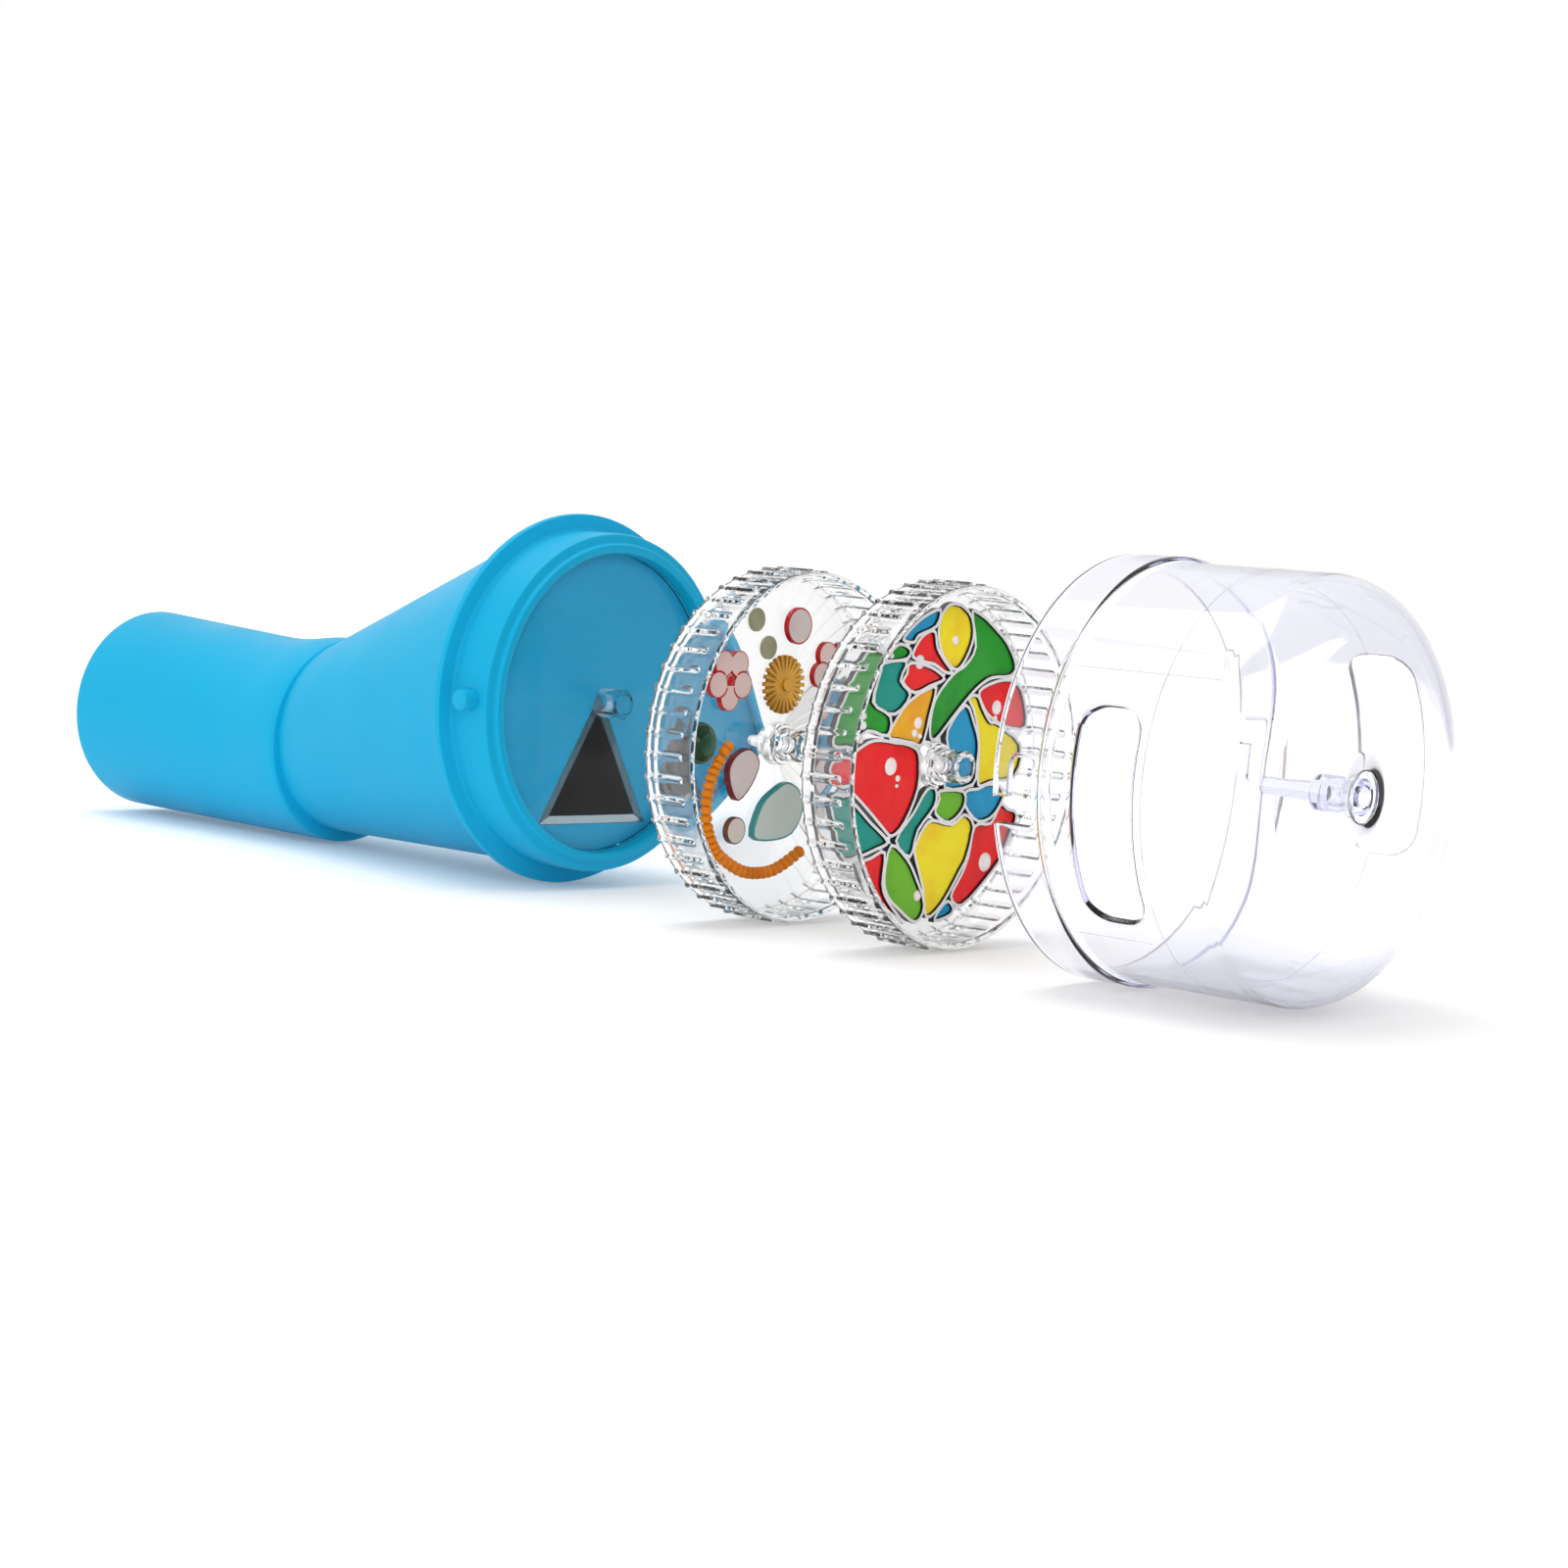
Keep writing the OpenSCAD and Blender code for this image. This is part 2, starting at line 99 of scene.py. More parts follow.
def finish_piece(name, bm, material, body, replaces=(), sharp=35, bevel=0, segments=2):
    """Turns a bmesh in millimetres into a piece that rides on a body."""
    bmesh.ops.recalc_face_normals(bm, faces=bm.faces)
    for face in bm.faces:
        face.smooth = True
    mesh = bpy.data.meshes.new(name)
    bm.to_mesh(mesh)
    bm.free()
    mesh.transform(Matrix.Scale(MM, 4))
    mesh.set_sharp_from_angle(angle=radians(sharp))
    mesh.materials.append(material)
    piece = bpy.data.objects.new(name, mesh)
    bpy.context.scene.collection.objects.link(piece)
    if bevel:
        add_bevel(piece, bevel, segments, 35)
    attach(piece, body)
    if replaces:
        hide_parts(*replaces)
    return piece


def ring_points(x, z, r, count, lift=None):
    """Points of a ring across the row; lift adds to the radius at each angle."""
    angles = [2 * pi * k / count for k in range(count)]
    radii = [r + (lift(a) if lift else 0) for a in angles]
    return [(x, q * cos(a), z + q * sin(a)) for a, q in zip(angles, radii)]


def skin(bm, rows, closed_rows=False):
    """Joins rows of points, each a closed ring, with four-sided faces."""
    verts = [[bm.verts.new(p) for p in row] for row in rows]
    count = len(rows[0])
    last = len(rows) if closed_rows else len(rows) - 1
    for i in range(last):
        low, high = verts[i], verts[(i + 1) % len(rows)]
        for k in range(count):
            n = (k + 1) % count
            bm.faces.new((low[k], low[n], high[n], high[k]))
    return verts


def lathe(bm, profile, x, z, count=ROUND, matrix=None):
    """Turns an outline of (distance, radius) pairs about an axis along the row. The outline is
    closed, unless it starts and ends on the axis."""
    rows = [ring_points(x + along, z, max(r, NEAR_AXIS / 2), count) for along, r in profile]
    start = len(bm.verts)
    skin(bm, rows, closed_rows=min(r for _, r in profile) > NEAR_AXIS)
    if matrix:
        bm.verts.ensure_lookup_table()
        bmesh.ops.transform(bm, matrix=matrix, verts=bm.verts[start:])


def lathed(name, profile, x, z, material, body, replaces=(), count=ROUND):
    """A piece that is one turned outline."""
    bm = bmesh.new()
    lathe(bm, profile, x, z, count)
    bmesh.ops.remove_doubles(bm, verts=bm.verts, dist=WELD)
    return finish_piece(name, bm, material, body, replaces)


# A face whose normal leans at least this much along the row is a front or a back
FACES_ALONG = 0.7


def softened(node, material, body, bevel, segments=2, side=None, rim=0):
    """A copy of a CAD node with its edges rounded. side is a second material, for its walls and
    for a rim of that width around its front."""
    bm = bmesh.new()
    bm.from_mesh(NODES[node].data)
    bmesh.ops.transform(bm, matrix=Matrix.Scale(1 / MM, 4), verts=bm.verts)
    bmesh.ops.remove_doubles(bm, verts=bm.verts, dist=0.001)
    bmesh.ops.dissolve_limit(bm, angle_limit=radians(0.5), verts=bm.verts, edges=bm.edges)
    bm.normal_update()
    for face in bm.faces:
        face.material_index = 1 if side and abs(face.normal[0]) < FACES_ALONG else 0
    if rim:
        front = [f for f in bm.faces if f.normal[0] > FACES_ALONG]
        edging = bmesh.ops.inset_region(bm, faces=front, thickness=rim, use_even_offset=False)
        for face in edging["faces"]:
            face.material_index = 1
    piece = finish_piece(node + "_soft", bm, material, body, (node,), bevel=bevel, segments=segments)
    if side:
        piece.data.materials.append(side)
    return piece


def island_boxes(node):
    """The box, in millimetres, of each separate lump of a CAD node."""
    bm = bmesh.new()
    bm.from_mesh(NODES[node].data)
    bmesh.ops.remove_doubles(bm, verts=bm.verts, dist=0.001 * MM)
    left = set(bm.verts)
    boxes = []
    while left:
        front = [left.pop()]
        lump = list(front)
        while front:
            vert = front.pop()
            near = [e.other_vert(vert) for e in vert.link_edges if e.other_vert(vert) in left]
            left.difference_update(near)
            front += near
            lump += near
        boxes.append([[pick(v.co[k] for v in lump) / MM for k in range(3)] for pick in (min, max)])
    bm.free()
    return sorted(boxes)


def between(a, b, steps):
    """Rings from a towards b, the last one left out."""
    return [tuple(p + (q - p) * i / steps for p, q in zip(a, b)) for i in range(steps)]


def middle_of(low, high):
    return [(a + b) / 2 for a, b in zip(low, high)]


# ------------------------------------------------------------------- materials

NOISE_DETAIL = 3.0


def shader(name, color, roughness, **sockets):
    """A material; further sockets are named with underlines for spaces."""
    mat = bpy.data.materials.new(name)
    mat.use_nodes = True
    bsdf = mat.node_tree.nodes["Principled BSDF"]
    bsdf.inputs["Base Color"].default_value = (*color, 1)
    bsdf.inputs["Roughness"].default_value = roughness
    for key, value in sockets.items():
        bsdf.inputs[key.replace("_", " ")].default_value = value
    return mat


def noise_value(mat, scale):
    """A noise pattern; scale is its number of patches per millimetre."""
    nodes, links = mat.node_tree.nodes, mat.node_tree.links
    coords = nodes.new("ShaderNodeTexCoord")
    pattern = nodes.new("ShaderNodeTexNoise")
    pattern.inputs["Scale"].default_value = scale / MM
    pattern.inputs["Detail"].default_value = NOISE_DETAIL
    links.new(coords.outputs["Object"], pattern.inputs["Vector"])
    return pattern.outputs[0]


def add_bump(mat, scale, strength, depth):
    """Unevenness of a depth in millimetres."""
    nodes, links = mat.node_tree.nodes, mat.node_tree.links
    bump = nodes.new("ShaderNodeBump")
    bump.inputs["Strength"].default_value = strength
    bump.inputs["Distance"].default_value = depth * MM
    links.new(noise_value(mat, scale), bump.inputs["Height"])
    links.new(bump.outputs["Normal"], nodes["Principled BSDF"].inputs["Normal"])


def add_ramp(mat, socket, low, high, scale, start=0.35, end=0.65):
    """Runs a socket between two values, or two colours, with a noise pattern."""
    nodes, links = mat.node_tree.nodes, mat.node_tree.links
    ramp = nodes.new("ShaderNodeValToRGB")
    for stop, place, value in zip(ramp.color_ramp.elements, (start, end), (low, high)):
        stop.position = place
        stop.color = (*value, 1) if isinstance(value, tuple) else (value, value, value, 1)
    links.new(noise_value(mat, scale), ramp.inputs["Fac"])
    links.new(ramp.outputs["Color"], nodes["Principled BSDF"].inputs[socket])


def scaled(color, share):
    return tuple(share * c for c in color)


def blue_plastic(name, color):
    """Matt blue plastic with faint cloudy patches."""
    mat = shader(name, color, 0.4, Specular_IOR_Level=0.13)
    add_ramp(mat, "Base Color", scaled(color, 0.94), color, 0.02)
    add_ramp(mat, "Roughness", 0.36, 0.46, 0.05)
    add_bump(mat, 1.6, 0.12, 0.05)
    return mat


STYRENE_IOR = 1.49
# Lower than the real one, so that the window mirrors little of the studio
WINDOW_IOR = 1.2


def clear_plastic(name, tint, strength, ior=STYRENE_IOR):
    """Clear styrene, tinted where one looks along the wall; strength is the tint per metre."""
    mat = shader(name, (0.985, 0.985, 0.99), 0.02, Transmission_Weight=1.0, IOR=ior)
    add_ramp(mat, "Roughness", 0.01, 0.05, 0.04)
    add_bump(mat, 0.05, 0.12, 0.2)
    tree = mat.node_tree
    inside = tree.nodes.new("ShaderNodeVolumeAbsorption")
    inside.inputs["Color"].default_value = (*tint, 1)
    inside.inputs["Density"].default_value = strength
    tree.links.new(inside.outputs["Volume"], tree.nodes["Material Output"].inputs["Volume"])
    return mat


def glass_paint(name, color, dark):
    """Glossy craft paint, a little deeper in colour where it has run thicker."""
    mat = shader(name, color, 0.2, Coat_Weight=0.1, Coat_Roughness=0.05, IOR=1.25)
    add_ramp(mat, "Base Color", dark, color, 0.10, 0.25, 0.5)
    add_bump(mat, 0.25, 0.3, 0.4)
    return mat


def metal(name, color, roughness):
    """Mirror foil, a little smeared."""
    mat = shader(name, color, roughness, Metallic=1.0)
    add_ramp(mat, "Roughness", roughness * 0.7, roughness * 1.5, 0.1)
    return mat


# The bulkhead behind the window is a lighter blue, to make up for the light lost in the window
BLUE = blue_plastic("blue_plastic", (0.004, 0.39, 0.66))
BLUE_FRONT = blue_plastic("blue_front", (0.008, 0.53, 0.92))
CLEAR = clear_plastic("clear_plastic", (0.50, 0.52, 0.92), 60)
WINDOW_CLEAR = clear_plastic("clear_window", (0.60, 0.66, 0.72), 25, WINDOW_IOR)
LINE_CLEAR = clear_plastic("mould_line", (0.45, 0.47, 0.75), 900)
SPOOL_CLEAR = clear_plastic("clear_wheel", (0.80, 0.78, 0.74), 25)
# The mirrors' colours are painted light: the side mirrors are dark as painted shade for the dim tunnel, and
# the base mirror is a lighter copy as a painted highlight for its bright front edge.
MIRROR_PAINTED_SHADE = metal("mirror_strip", (0.06, 0.13, 0.17), 0.12)
MIRROR_PAINTED_HIGHLIGHT = metal("mirror_painted_highlight", (0.30, 0.38, 0.42), 0.15)
CARD = shader("sleeve_card", (0.03, 0.035, 0.04), 0.8)
add_bump(CARD, 2.0, 0.3, 0.1)


# ------------------------------------------------------------------------ body

def housing_rings():
    """Distance, axis height and radius of each ring, outside first, then back inside."""
    eye_end = [(-156, 26.9, 23.4), (-156, 26.9, 24.9), (-155.8, 26.9, 25.3), (-155.2, 26.87, 25.55)]
    tube = between((-154.5, 26.85, 25.55), (-118, 25.56, 24.76), 8)
    waist = [(-118, 25.56, 24.76), (-110, 25.28, 24.58), (-104, 25.12, 24.48), (-99, 25.08, 24.5),
             (-95, 25.14, 24.62), (-91, 25.32, 24.84), (-87.5, 25.55, 25.1), (-84, 25.72, 25.32),
             (-81, 25.8, 25.4), (-78.4, 25.8, 25.4)]
    band_edge = [(-77.5, 25.85, 25.3), (-77.05, 26.1, 24.95), (-76.95, 26.6, 24.3), (-76.8, 27.0, 23.85)]
    flare = between((-76, 27.2, 23.95), (-4.2, 43.2, 39.4), 12)
    flange = [(-4.2, 43.2, 39.5), (-3.0, 43.3, 39.9), (-2.3, 43.2, 40.4), (-2.0, 43.05, 41.2), (-2, 43, 42.5),
              (-1.8, 43, 42.85), (-1.4, 43, 43), (-0.6, 43, 43), (-0.15, 43, 42.85), (0, 43, 42.5)]
    collar = [(0, 43, 39.9), (0.25, 43, 39.4), (0.8, 43, 39.1), (10.2, 43, 39.1), (10.9, 43, 38.9),
              (11.2, 43, 38.3), (11.2, 43, 37.4), (11.45, 43, 37.0), (12.0, 43, 36.85), (12.4, 43, 36.5),
              (12.5, 43, 36.0), (12.5, 43, 35.2), (12.35, 43, 34.75), (12.0, 43, 34.55)]
    seat = [(9, 43, 34.5), (5.5, 43, 34.5), (5.5, 43, 33.7), (3.4, 43, 33.7), (3.4, 43, 36.9), (-2, 43, 36.9)]
    inside = [(-2.2, 43.55, 37.9), (-77, 26.9, 22), (-84, 26.7, 21.9), (-102, 25, 22.4), (-155.8, 26.9, 23.4)]
    return eye_end + tube + waist + band_edge + flare + flange + collar + seat + inside


# The studs' distance in front of the flange, how far from the axis they start, and their outline
STUD_X = 6.2
STUD_FOOT = 38.1
STUD = [(0, 0), (0, 2.4), (4.2, 2.4), (4.6, 2.25), (4.8, 1.9), (4.8, 0)]


def build_housing():
    """The blue shell with its collar, and a bayonet stud on each side."""
    bm = bmesh.new()
    rows = [ring_points(FLANGE_X + x, z, r, ROUND) for x, z, r in housing_rings()]
    skin(bm, rows, closed_rows=True)
    for side in (-1, 1):
        foot = Matrix.Translation((FLANGE_X + STUD_X, side * STUD_FOOT, BODY_Z))
        lathe(bm, STUD, 0, 0, SMALL_ROUND, foot @ Matrix.Rotation(side * pi / 2, 4, "Z"))
    finish_piece("housing_shell", bm, BLUE, "body", ("housing",))


def build_window():
    """The clear plate with its hollow boss."""
    outline = [(7.55, 0), (7.55, 34.2), (7.7, 34.4), (9.15, 34.4), (9.3, 34.2), (9.3, 3.9), (9.45, 3.5),
               (9.9, 3.4), (15.3, 3.4), (15.6, 3.15), (15.6, 2.4), (15.4, 2.2), (8.3, 2.2), (8.3, 0)]
    lathed("window", outline, FLANGE_X, BODY_Z, WINDOW_CLEAR, "body", ("window_plate",))


def build_body():
    build_housing()
    build_window()
    softened("front_bulkhead", BLUE_FRONT, "body", 0.15)
    softened("eyepiece", BLUE, "body", 0.4, 3)
    softened("eyepiece_window", CLEAR, "body", 0.1)
    # The base mirror takes the painted highlight copy, the side mirrors the painted shade copy.
    softened("mirror_base", MIRROR_PAINTED_HIGHLIGHT, "body", 0.1)
    for node in ("mirror_left", "mirror_right"):
        softened(node, MIRROR_PAINTED_SHADE, "body", 0.1)
    softened("mirror_sleeve", CARD, "body", 0.05)


# ---------------------------------------------------------------------- wheels

# The grip ribs: their number, length, half width and height
RIBS = 50
RIB_LEN = 10.5
RIB_HALF = 0.72
RIB_HEIGHT = 0.6
# Corners around a dish for each rib, the thickness of its wall with the ribs, and where its
# rings lie along the row, closer together at the ribs' round ends
RIB_CORNERS = 14
RIM_WALL = 1.9
RIB_RINGS = (0, 0.8, 2.4, 4, 5.6, 7.2, 8.8, 9.6, 9.9, 10.1, 10.25, 10.38, 10.46, 10.5, 10.9, 12.6)


def rib_lift(along):
    """The height of the ribs at a distance along the rim, as a function of the angle."""
    past_end = max(0, along - (RIB_LEN - RIB_HALF))

    def lift(angle):
        turn = (angle / (2 * pi) * RIBS + 0.5 * (RIBS % 4 == 2)) % 1
        aside = min(turn, 1 - turn) * 2 * pi * WHEEL_R / RIBS
        gap = (aside * aside + past_end * past_end) / (RIB_HALF * RIB_HALF)
        return RIB_HEIGHT * sqrt(max(0, 1 - gap))
    return lift


def build_dish(name, node, x, body):
    """A wheel's dish: outside with the ribs, front rim, inside, both sides of the web, back rim."""
    wall = WHEEL_R - RIB_HEIGHT
    bore = WHEEL_R - RIM_WALL
    count = RIBS * RIB_CORNERS
    rows = [ring_points(x + along, WHEEL_Z, wall, count, rib_lift(along)) for along in RIB_RINGS]
    inner = [(12.9, wall - 0.15), (13, wall - 0.45), (13, bore + 0.35), (12.85, bore), (2.9, bore),
             (2.5, bore - 0.15), (2.4, bore - 0.5), (2.4, 4.7), (4.2, 4.7), (4.33, 4.55), (4.33, 3.2),
             (4.2, 3.06), (1.7, 3.06), (1.6, 3.2), (1.6, bore - 0.4), (1.45, bore), (0.15, bore),
             (0, bore + 0.15)]
    rows += [ring_points(x + along, WHEEL_Z, r, count) for along, r in inner]
    bm = bmesh.new()
    skin(bm, rows, closed_rows=True)
    finish_piece(name, bm, SPOOL_CLEAR, body, (node,), sharp=50)


def build_hub(name, node, x, body):
    """A stepped hub with a spigot at the back and a socket at the front."""
    outline = [(-8, 0), (-8, 1.3), (-7.8, 1.5), (-1.2, 2.05), (-1.2, 3.4), (-1.0, 3.6), (1.4, 3.6),
               (1.55, 3.45), (1.55, 3.0), (4.4, 3.0), (4.4, 4.35), (4.55, 4.5), (5.3, 4.5), (5.5, 4.3),
               (5.5, 3.6), (5.65, 3.5), (11.9, 3.5), (12.2, 3.25), (12.2, 2.4), (12.0, 2.2), (3.0, 2.2),
               (3.0, 0)]
    lathed(name, outline, x, WHEEL_Z, SPOOL_CLEAR, body, (node,), HUB_ROUND)


# Slot, colour, and the colour where the paint is thicker
PAINTS = {
    "red_panes": ("paint_red", (0.92, 0.006, 0.008), (0.74, 0.003, 0.005)),
    "yellow_panes": ("paint_yellow", (0.98, 0.80, 0.002), (0.93, 0.60, 0.002)),
    "orange_panes": ("paint_orange", (0.95, 0.46, 0.006), (0.86, 0.30, 0.006)),
    "green_panes": ("paint_green", (0.012, 0.33, 0.016), (0.005, 0.20, 0.012)),
    "light_green_panes": ("paint_light_green", (0.16, 0.50, 0.012), (0.08, 0.38, 0.010)),
    "teal_panes": ("paint_teal", (0.0, 0.31, 0.24), (0.0, 0.23, 0.17)),
    "blue_panes": ("paint_blue", (0.0, 0.33, 0.60), (0.0, 0.25, 0.48)),
}
# Across and up from the wheel's axis, and radius, of the bubbles in the paint, which are coloured near white
# as painted highlights
BUBBLE_HIGHLIGHTS = ((-16.5, 22.5, 0.7), (-24, 10, 0.8), (-24, 8, 1.0), (-24.5, 5, 0.8), (-6, 8.6, 1.3), (-7, 6.4, 0.9),
           (-5.2, 5.8, 0.6), (-14, -0.5, 1.9), (-11.5, -3, 0.7), (-11.7, -4.6, 0.4), (20.5, 12, 1.6),
           (20.2, 9.6, 0.7), (-2, -28, 1.2), (20.5, -21.5, 2.1), (4.5, 26.2, 1.0), (-7, 21.4, 1.5))
BUBBLE_RISE = 0.5
# Half of a dome, as shares of its height and radius
DOME = ((0, 1.0), (0.3, 0.97), (0.6, 0.8), (0.85, 0.5), (1.0, 0.0))
# Height and radius of a flower's red centre
CENTRE_RISE = 0.3
CENTRE_R = 1.1
# Depth by which a dome sits in the face below it
SUNK = 0.02

# Slot, face colour, its darker patches, and the colour of the rim
TRINKETS = {
    "flower_charms": ("flower_pink", (0.80, 0.60, 0.56), (0.72, 0.42, 0.38), (0.52, 0.013, 0.02)),
    "daisy_charm": ("daisy_gold", (0.80, 0.42, 0.05), (0.38, 0.15, 0.01), (0.50, 0.21, 0.012)),
    "green_gem": ("gem_green", (0.05, 0.14, 0.08), (0.010, 0.035, 0.016), (0.007, 0.045, 0.017)),
    "red_sequin": ("sequin_red", (0.70, 0.62, 0.60), (0.62, 0.50, 0.47), (0.58, 0.010, 0.015)),
    "petal_gem": ("petal_rose", (0.72, 0.62, 0.62), (0.60, 0.46, 0.46), (0.16, 0.006, 0.014)),
    "teardrop_gem": ("teardrop_grey", (0.56, 0.65, 0.61), (0.44, 0.56, 0.53), (0.05, 0.30, 0.30)),
    "round_gem": ("gem_brown", (0.70, 0.64, 0.57), (0.56, 0.48, 0.40), (0.16, 0.06, 0.03)),
}
# Widths of the coloured outlines on the fronts of the trinkets, and of the painted shade round the fronts of
# the panes
OUTLINES = {"flower_charms": 0.22, "red_sequin": 0.4, "petal_gem": 0.4, "teardrop_gem": 0.45,
            "round_gem": 0.3}
PANE_SHADE_RIM = 0.22
# How much darker than the thick paint the painted shade on the panes' walls and rims is, and its own dark
# patches
PANE_SHADE_DARKNESS = 0.3
PANE_SHADE_PATCH = 0.15
# The same for the trinkets' outlines
EDGE_PATCH = 0.6


def add_dome(bm, place, rise, r):
    lathe(bm, [(rise * high, r * wide) for high, wide in DOME], 0, 0, TINY_ROUND, Matrix.Translation(place))


def build_bubble_highlights():
    """Little domes of trapped air on the front of the paint, coloured near white as painted highlights, and
    red centres on the flowers.
    """
    # Near white: a painted highlight on the bubbles.
    mat = shader("bubble_painted_highlight", (0.97, 0.88, 0.86), 0.12, Coat_Weight=1.0)
    add_ramp(mat, "Base Color", (0.93, 0.76, 0.74), (0.98, 0.93, 0.92), 0.5)
    front = corner("red_panes", 1, 0)
    bm = bmesh.new()
    for across, up, r in BUBBLE_HIGHLIGHTS:
        add_dome(bm, (front - SUNK, across, WHEEL_Z + up), BUBBLE_RISE, r)
    finish_piece("paint_bubble_highlights", bm, mat, "wheel_b", sharp=60)
    red = glass_paint("flower_red", (0.55, 0.02, 0.02), (0.35, 0.008, 0.01))
    bm = bmesh.new()
    for low, high in island_boxes("flower_charms"):
        _, across, up = middle_of(low, high)
        add_dome(bm, (high[0] - SUNK, across, up), CENTRE_RISE, CENTRE_R)
    finish_piece("flower_centres", bm, red, "wheel_a", sharp=60)


# Half a bead's length as a share of the distance between beads: above a half, so that they touch
BEAD_SHARE = 0.56


# Stands a shape that is turned about the row's axis upright
UPRIGHT = Matrix(((0, 1, 0, 0), (0, 0, 1, 0), (1, 0, 0, 0), (0, 0, 0, 1)))


def build_beads():
    """Round glass beads where the string's beads lie, each squashed along the string."""
    ball = [(-cos(pi * k / 12), sin(pi * k / 12)) for k in range(13)]
    amber = glass_paint("bead_amber", (0.80, 0.24, 0.008), (0.60, 0.13, 0.004))
    lumps = island_boxes("bead_string")
    radius = min((high[0] - low[0]) / 2 for low, high in lumps)
    spots = [Vector(middle_of(low, high)) for low, high in lumps]
    # In order along the string, anticlockwise from the top
    spots.sort(key=lambda p: (atan2(p.z - WHEEL_Z, p.y) - pi / 2) % (2 * pi))
    bm = bmesh.new()
    for i, spot in enumerate(spots):
        run = spots[min(i + 1, len(spots) - 1)] - spots[max(i - 1, 0)]
        gap = run.length / (2 if 0 < i < len(spots) - 1 else 1)
        shape = Matrix.Diagonal((radius, radius, min(radius, BEAD_SHARE * gap), 1))
        place = Matrix.Translation(spot) @ run.to_track_quat("Z", "X").to_matrix().to_4x4() @ shape
        lathe(bm, ball, 0, 0, 20, place @ UPRIGHT)
    bmesh.ops.remove_doubles(bm, verts=bm.verts, dist=WELD)
    finish_piece("beads", bm, amber, "wheel_a", ("bead_string",), sharp=80)


def build_sequins():
    """Flat round sequins, slightly dished."""
    olive = glass_paint("sequin_olive", (0.36, 0.36, 0.22), (0.27, 0.26, 0.14))
    bm = bmesh.new()
    for low, high in island_boxes("olive_sequins"):
        r = (high[1] - low[1]) / 2
        _, across, up = middle_of(low, high)
        thick = high[0] - low[0]
        disc = [(0, 0), (0, r - 0.1), (0.1, r), (thick - 0.1, r), (thick, r - 0.15), (thick, r - 0.5),
                (thick - 0.15, r - 0.9), (thick - 0.15, 0)]
        lathe(bm, disc, 0, 0, SMALL_ROUND, Matrix.Translation((low[0], across, up)))
    finish_piece("sequins", bm, olive, "wheel_a", ("olive_sequins",))


def build_wheels():
    build_dish("wheel_a_ribbed", "wheel_a_dish", WHEEL_A_X, "wheel_a")
    build_dish("wheel_b_ribbed", "wheel_b_dish", WHEEL_B_X, "wheel_b")
    build_hub("hub_a_spool", "hub_a", WHEEL_A_X, "spool_a")
    build_hub("hub_b_spool", "hub_b", WHEEL_B_X, "spool_b")
    outliner = shader("outliner", (0.82, 0.80, 0.79), 0.25)
    add_bump(outliner, 0.8, 0.4, 0.2)
    # The contour lines' walls are near black: painted shade beside the pale liner.
    shade = shader("outliner_painted_shade", (0.02, 0.022, 0.03), 0.35)
    add_bump(shade, 0.8, 0.4, 0.2)
    softened("contour_lines", outliner, "wheel_b", 0.12, 2, shade)
    # The panes' walls and a rim round their fronts are darker: painted shade where the panes meet the contour
    # lines.
    for node, (slot, color, dark) in PAINTS.items():
        rim = glass_paint(slot + "_rim", scaled(dark, PANE_SHADE_DARKNESS), scaled(dark, PANE_SHADE_PATCH))
        softened(node, glass_paint(slot, color, dark), "wheel_b", 0.1, 2, rim, PANE_SHADE_RIM)
    for node, (slot, color, dark, edge) in TRINKETS.items():
        rim = glass_paint(slot + "_rim", edge, scaled(edge, EDGE_PATCH))
        width = OUTLINES.get(node, 0)
        softened(node, glass_paint(slot, color, dark), "wheel_a", 0.12, 2, rim, width)
    build_beads()
    build_sequins()
    build_bubble_highlights()


# ------------------------------------------------------------------------- cap

# Finger windows and slots: near and far edge along the cap, first and last angle around it
WINDOWS = ((17.5, 31.3, 160, 219.7), (28.6, 43.5, -20, 39.7))
SLOT_ENTRY = (-5, 9, 186.6, 193.8)
SLOT_TRACK = (3.6, 9, 176.2, 193.8)
# Corner radii of the windows and slots, and of the closed end's edge
WINDOW_ROUND = 5.5
SLOT_ROUND = 0.9
CAP_ROUND = 11
# Radius of the wide rim and of the rest, the wall, and the hole for the pin
RIM_R = 43
CAP_R = 42
CAP_WALL = 1.4
PIN_HOLE_R = 5.3
CAP_CORNERS = 360
# Where the straight part of the wall begins and ends, and the distance between its rings
SIDE_START = 12
SIDE_END = CAP_LEN - CAP_ROUND
SIDE_STEP = 0.75


def cap_cuts():
    """The windows and slots, each with its corner radius. The slots are on both sides."""
    cuts = [(window, WINDOW_ROUND) for window in WINDOWS]
    for turn in (0, 180):
        cuts += [((a, b, c + turn, d + turn), SLOT_ROUND) for a, b, c, d in (SLOT_ENTRY, SLOT_TRACK)]
    return cuts


CAP_CUTS = cap_cuts()


def cap_outline():
    """Distance and outer radius along the cap, from the rim to the hole in the closed end."""
    skirt = [(0, RIM_R)] + [(0.8 + 0.6 * k, RIM_R) for k in range(17)]
    skirt += [(10.8, 42.95), (11.1, 42.7), (11.3, 42.3), (11.6, 42.05)]
    steps = int((SIDE_END - SIDE_START) / SIDE_STEP)
    side = [(SIDE_START + SIDE_STEP * k, CAP_R) for k in range(steps + 1)]
    turn = [(SIDE_END + CAP_ROUND * sin(a), CAP_R - CAP_ROUND + CAP_ROUND * cos(a))
            for a in [radians(6 * k) for k in range(1, 16)]]
    end = [(CAP_LEN, r) for r in (26, 20, 14, 9, PIN_HOLE_R)]
    return skirt + side + turn + end


